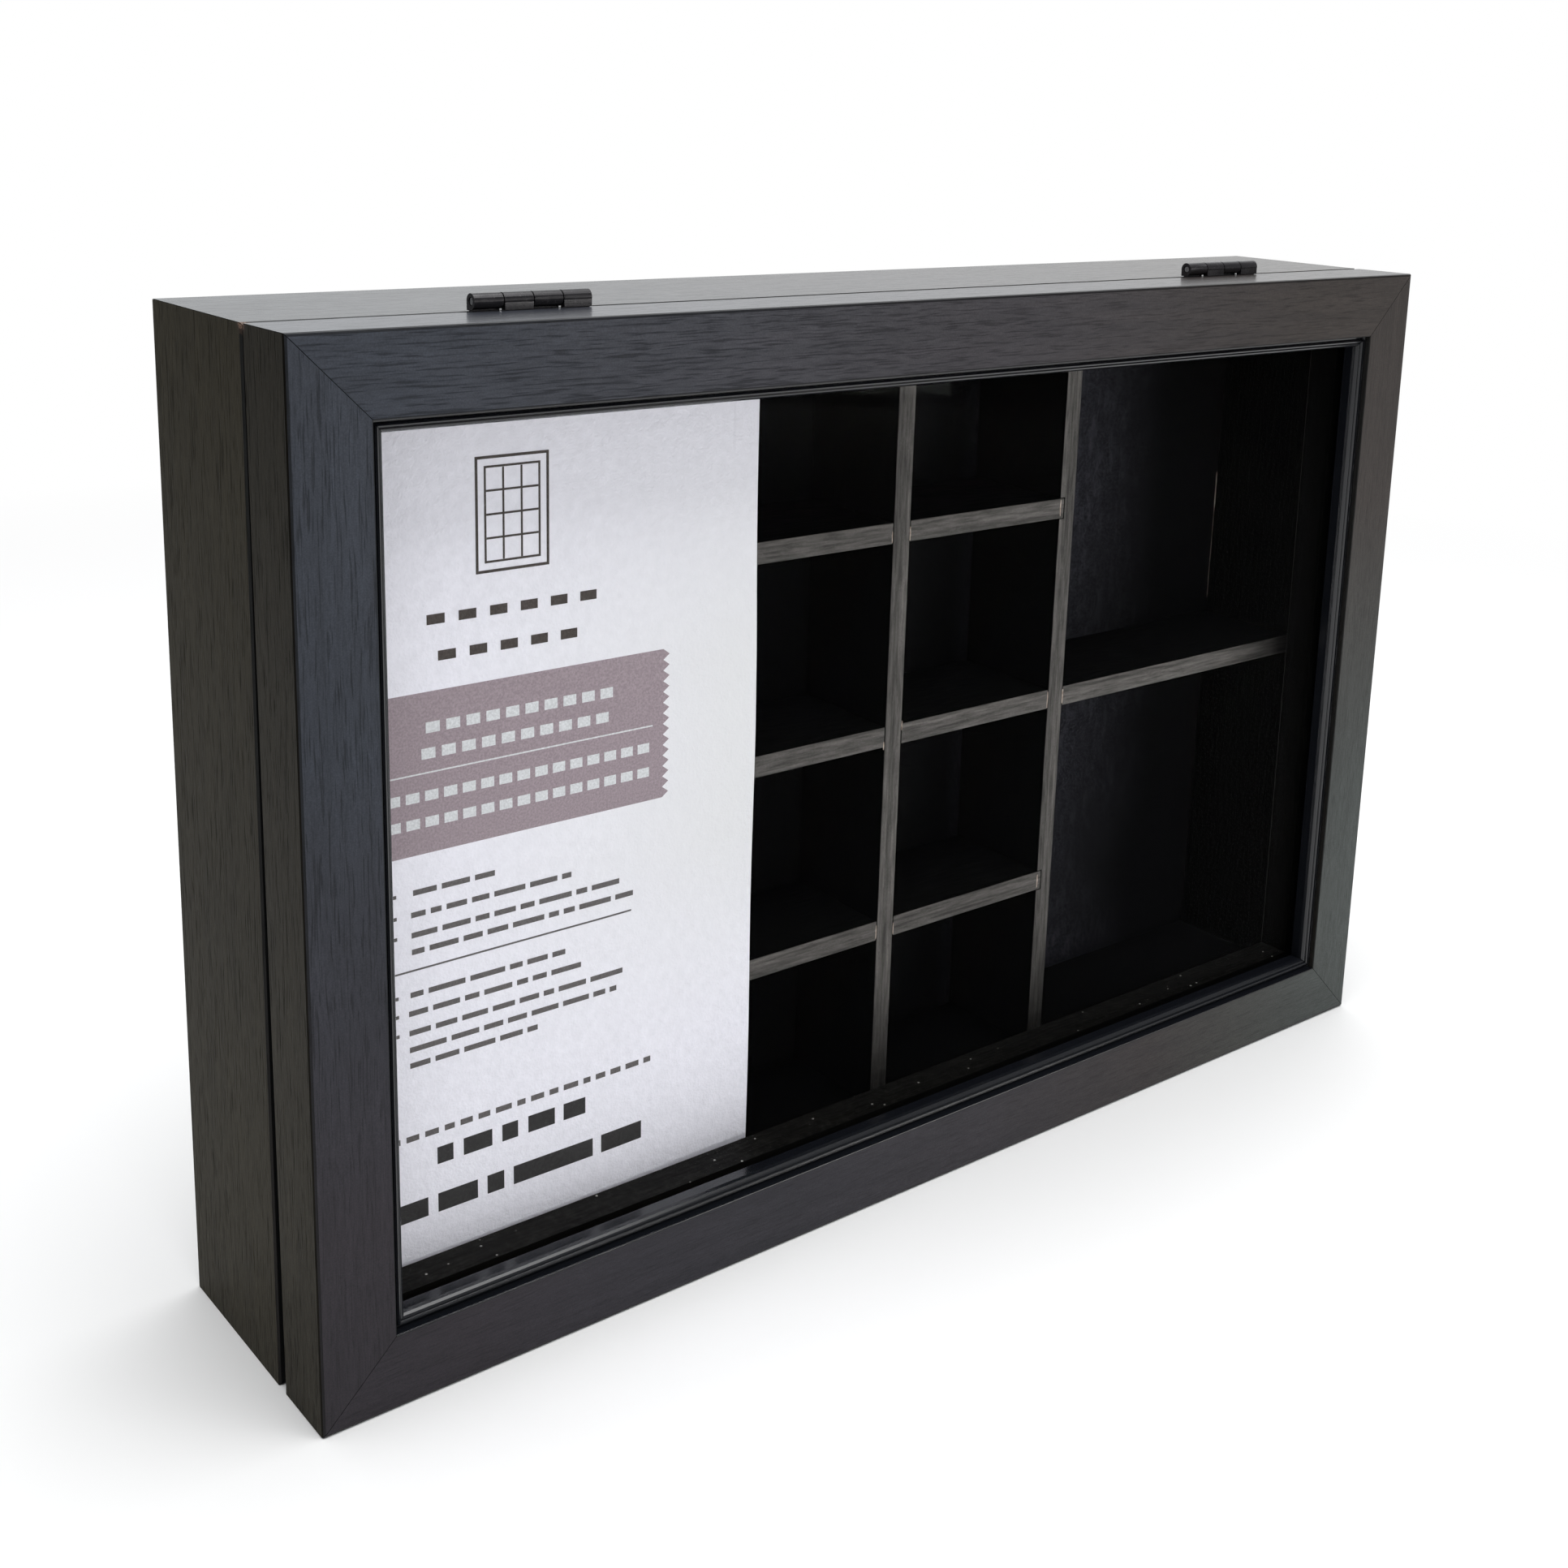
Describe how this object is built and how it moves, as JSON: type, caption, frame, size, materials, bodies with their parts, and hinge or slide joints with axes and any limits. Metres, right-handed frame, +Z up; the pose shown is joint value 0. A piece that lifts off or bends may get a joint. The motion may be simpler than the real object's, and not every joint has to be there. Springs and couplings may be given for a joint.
{
  "type": "shadow box",
  "caption": "Wall or shelf shadow box: black wood-grain case with an egg-crate of dividers behind a top-hinged glazed door.",
  "frame": {"origin": "centre of the underside of the bounding box, on the surface the case stands on", "axes": "+Z up; +X to the right of someone facing the glass; the glazed door faces -Y and the back panel faces +Y"},
  "size_m": [0.3048, 0.0604, 0.2065],
  "materials": {
    "black_woodgrain": "satin black foil with a fine linear grain",
    "black_divider_board": "matt black foil on thin fibreboard",
    "dark_strip": "matt, dark brown-black, dusty",
    "clear_glass": "clear float glass",
    "paper_insert": "matt, lightly textured",
    "backing_board": "matt fibre backing board",
    "blackened_hinge_steel": "satin black",
    "pin_steel": "drawn wire",
    "nickel_magnet": "bright nickel plate",
    "zinc_plate": "zinc plated"
  },
  "bodies": {
    "case": {"case_bottom_wall": "black_woodgrain", "case_right_wall": "black_woodgrain", "case_top_wall": "black_woodgrain", "case_left_wall": "black_woodgrain", "back_panel": "backing_board", "back_brad_top_left": "zinc_plate", "back_brad_top_right": "zinc_plate", "back_brad_bottom_left": "zinc_plate", "back_brad_bottom_right": "zinc_plate", "back_brad_left": "zinc_plate", "back_brad_right": "zinc_plate", "divider_left": "black_divider_board", "divider_centre": "black_divider_board", "divider_right": "black_divider_board", "shelf_middle": "black_divider_board", "shelf_upper": "black_divider_board", "shelf_lower": "black_divider_board", "hinge_left_case_leaf": "blackened_hinge_steel", "hinge_left_pin": "pin_steel", "hinge_left_case_screw_outer": "blackened_hinge_steel", "hinge_left_case_screw_inner": "blackened_hinge_steel", "hinge_right_case_leaf": "blackened_hinge_steel", "hinge_right_pin": "pin_steel", "hinge_right_case_screw_outer": "blackened_hinge_steel", "hinge_right_case_screw_inner": "blackened_hinge_steel", "magnet_left": "nickel_magnet", "magnet_right": "nickel_magnet", "hanger_left": "zinc_plate", "hanger_left_nail_a": "zinc_plate", "hanger_left_nail_b": "zinc_plate", "hanger_right": "zinc_plate", "hanger_right_nail_a": "zinc_plate", "hanger_right_nail_b": "zinc_plate"},
    "door": {"door_bottom_rail": "black_woodgrain", "door_right_stile": "black_woodgrain", "door_top_rail": "black_woodgrain", "door_left_stile": "black_woodgrain", "glass_pane": "clear_glass", "glass_strip_bottom": "dark_strip", "glass_strip_right": "dark_strip", "glass_strip_top": "dark_strip", "glass_strip_left": "dark_strip", "insert_card": "paper_insert", "hinge_left_door_leaf": "blackened_hinge_steel", "hinge_left_door_screw_outer": "blackened_hinge_steel", "hinge_left_door_screw_inner": "blackened_hinge_steel", "hinge_right_door_leaf": "blackened_hinge_steel", "hinge_right_door_screw_outer": "blackened_hinge_steel", "hinge_right_door_screw_inner": "blackened_hinge_steel", "strike_disc_left": "zinc_plate", "strike_disc_right": "zinc_plate"}
  },
  "joints": [
    {"name": "door_hinge", "type": "hinge", "parent": "case", "child": "door", "pos_m": [0, -0.01156, 0.205], "axis": [-1, 0, 0], "range_deg": [0, 180]}
  ]
}
